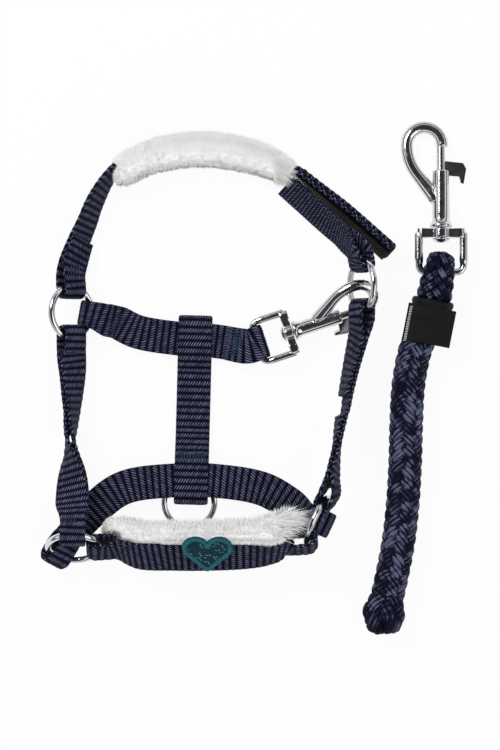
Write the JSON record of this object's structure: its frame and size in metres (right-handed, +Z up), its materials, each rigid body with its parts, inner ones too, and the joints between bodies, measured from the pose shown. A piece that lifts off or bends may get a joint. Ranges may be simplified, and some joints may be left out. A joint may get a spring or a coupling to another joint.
{
  "type": "head halter",
  "caption": "Small padded webbing head halter with plush crown and noseband, metal rings and a throat bolt snap, laid flat beside its short braided lead with a sprung bolt snap.",
  "frame": {"origin": "middle of the halter's outline on the table it lies on, at the table's height", "axes": "+Y from the noseband towards the crown, +Z up from the table, +X to the right as the halter lies with its noseband at the bottom"},
  "size_m": [0.1945, 0.231, 0.0373],
  "materials": {
    "webbing": "dark navy ribbed webbing",
    "plush": "off-white deep pile plush",
    "hook_tape": "black hook tape",
    "loop_tape": "navy loop tape",
    "heart_fill": "deep teal embroidered fill",
    "heart_thread": "teal satin-stitched border",
    "ring_metal": "bright nickel plate",
    "snap_metal": "bright nickel plated casting",
    "spring_steel": "bare spring wire",
    "rope": "dark navy braided rope",
    "label": "black woven label, left bare"
  },
  "bodies": {
    "halter": {"crown_strap": "webbing", "crown_plush": "plush", "crown_billet": "webbing", "loop_tape": "loop_tape", "left_cheek_strap": "webbing", "right_cheek_strap": "webbing", "throat_strap": "webbing", "connecting_strap": "webbing", "jaw_strap": "webbing", "nose_strap": "webbing", "nose_plush": "plush", "heart_patch": "heart_fill", "heart_border": "heart_thread"},
    "closure": {"crown_tail": "webbing", "hook_tape": "hook_tape"},
    "ring_upper_left": {"upper_left_ring": "ring_metal"},
    "ring_upper_right": {"upper_right_ring": "ring_metal"},
    "ring_lower_left": {"lower_left_ring": "ring_metal"},
    "ring_lower_right": {"lower_right_ring": "ring_metal"},
    "ring_chin": {"chin_ring": "ring_metal"},
    "throat_eye": {"throat_snap_eye": "snap_metal"},
    "throat_hook": {"throat_snap_body": "snap_metal", "throat_snap_stud": "snap_metal", "throat_snap_spring": "spring_steel"},
    "throat_bolt": {"throat_snap_bolt": "snap_metal"},
    "lead": {"lead_rope": "rope", "lead_loop": "rope", "lead_knob": "rope", "lead_label": "label"},
    "lead_eye": {"lead_snap_eye": "snap_metal"},
    "lead_hook": {"lead_snap_body": "snap_metal", "lead_snap_stud": "snap_metal", "lead_snap_spring": "spring_steel"},
    "lead_bolt": {"lead_snap_bolt": "snap_metal"}
  },
  "joints": [
    {"name": "closure_peel", "type": "hinge", "parent": "halter", "child": "closure", "pos_m": [0.03683, 0.08579, 0.00805], "axis": [0, 0, 1], "range_deg": [0, 24]},
    {"name": "ring_upper_left_spin", "type": "hinge", "parent": "halter", "child": "ring_upper_left", "pos_m": [-0.06689, 0.01878, 0.01212], "axis": [0.6428, 0, 0.766], "continuous": true},
    {"name": "ring_upper_right_spin", "type": "hinge", "parent": "halter", "child": "ring_upper_right", "pos_m": [0.06511, 0.03078, 0.0185], "axis": [0.891, 0, -0.454], "continuous": true},
    {"name": "ring_lower_left_spin", "type": "hinge", "parent": "halter", "child": "ring_lower_left", "pos_m": [-0.06589, -0.08822, 0.0148], "axis": [0, -0.848, 0.5299], "continuous": true},
    {"name": "ring_lower_right_spin", "type": "hinge", "parent": "halter", "child": "ring_lower_right", "pos_m": [0.04511, -0.07622, 0.017], "axis": [0.8865, -0.4134, 0.2079], "continuous": true},
    {"name": "chin_ring_swing", "type": "hinge", "parent": "halter", "child": "ring_chin", "pos_m": [-0.01339, -0.05678, 0.0041], "axis": [-1, 0, 0], "range_deg": [0, 12]},
    {"name": "throat_eye_swing", "type": "hinge", "parent": "halter", "child": "throat_eye", "pos_m": [0.01762, 0.00469, 0.00738], "axis": [0.309, -0.9511, 0], "range_deg": [-1.5, 2]},
    {"name": "throat_hook_swivel", "type": "hinge", "parent": "throat_eye", "child": "throat_hook", "pos_m": [0.03423, 0.01008, 0.00738], "axis": [0.9511, 0.309, 0], "range_deg": [-6, 15]},
    {"name": "throat_bolt_slide", "type": "slide", "parent": "throat_hook", "child": "throat_bolt", "axis": [-0.9511, -0.309, 0], "range_m": [0, 0.00688], "stiffness_N_per_m": 250, "springref_m": -0.004, "deforming": ["throat_snap_spring"]},
    {"name": "lead_lift", "type": "slide", "parent": "halter", "child": "lead", "axis": [0, 0, 1], "range_m": [0, 0.15]},
    {"name": "lead_eye_swing", "type": "hinge", "parent": "lead", "child": "lead_eye", "pos_m": [0.10151, 0.03698, 0.00925], "axis": [1, 0, 0], "range_deg": [0, 80]},
    {"name": "lead_hook_swivel", "type": "hinge", "parent": "lead_eye", "child": "lead_hook", "pos_m": [0.10151, 0.0572, 0.00748], "axis": [0, 0.9962, -0.0872], "continuous": true},
    {"name": "lead_bolt_slide", "type": "slide", "parent": "lead_hook", "child": "lead_bolt", "axis": [0, -0.9962, 0.0872], "range_m": [0, 0.008], "stiffness_N_per_m": 250, "springref_m": -0.004, "deforming": ["lead_snap_spring"]}
  ]
}
